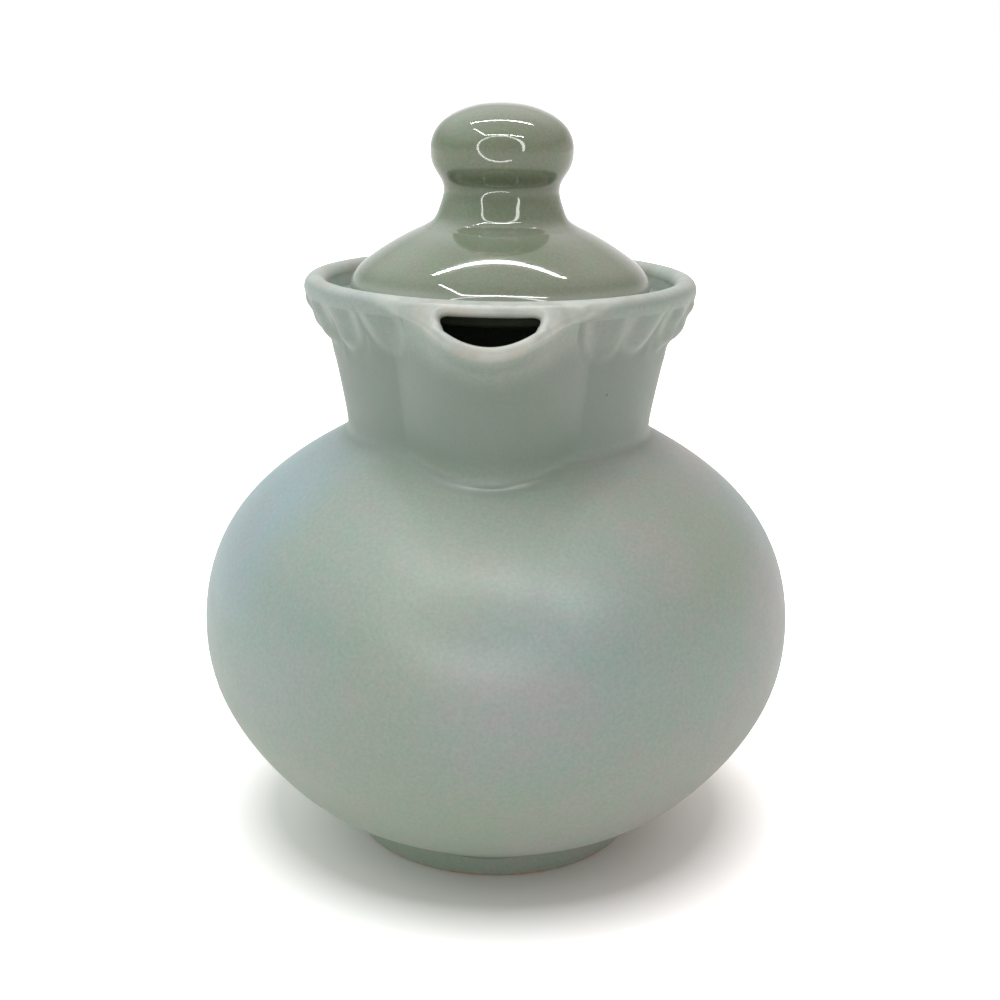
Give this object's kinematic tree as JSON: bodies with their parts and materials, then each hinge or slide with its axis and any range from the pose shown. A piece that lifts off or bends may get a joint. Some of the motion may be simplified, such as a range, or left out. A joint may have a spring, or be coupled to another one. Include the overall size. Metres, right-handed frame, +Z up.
{
  "type": "creamer",
  "caption": "Round glazed ceramic creamer with a flared collar, a pulled spout under a bridged rim, a loop handle and a loose domed lid with a ball knob.",
  "frame": {"origin": "where the pot's axis meets the plane of the foot ring's underside", "axes": "+Z up along the pot's axis, -Y the way the spout points, +Y towards the handle, +X to the right as seen from the spout"},
  "size_m": [0.09, 0.0986, 0.1124],
  "materials": {
    "pot_glaze": "satin celadon glaze",
    "lid_glaze": "glossy sage celadon glaze",
    "bare_foot": "unglazed fired clay, tinted at the glaze's edge"
  },
  "bodies": {
    "pot": {"pot_belly": "pot_glaze", "foot_ring": "bare_foot", "neck_collar": "pot_glaze", "spout": "pot_glaze", "lid_gallery": "pot_glaze", "collar_lobes": "pot_glaze", "handle": "pot_glaze"},
    "lid": {"lid_dome": "lid_glaze", "lid_flange": "lid_glaze", "lid_knob": "lid_glaze"}
  },
  "joints": [
    {"name": "lid_lift", "type": "slide", "parent": "pot", "child": "lid", "axis": [0, 0, 1], "range_m": [0, 0.05]}
  ]
}
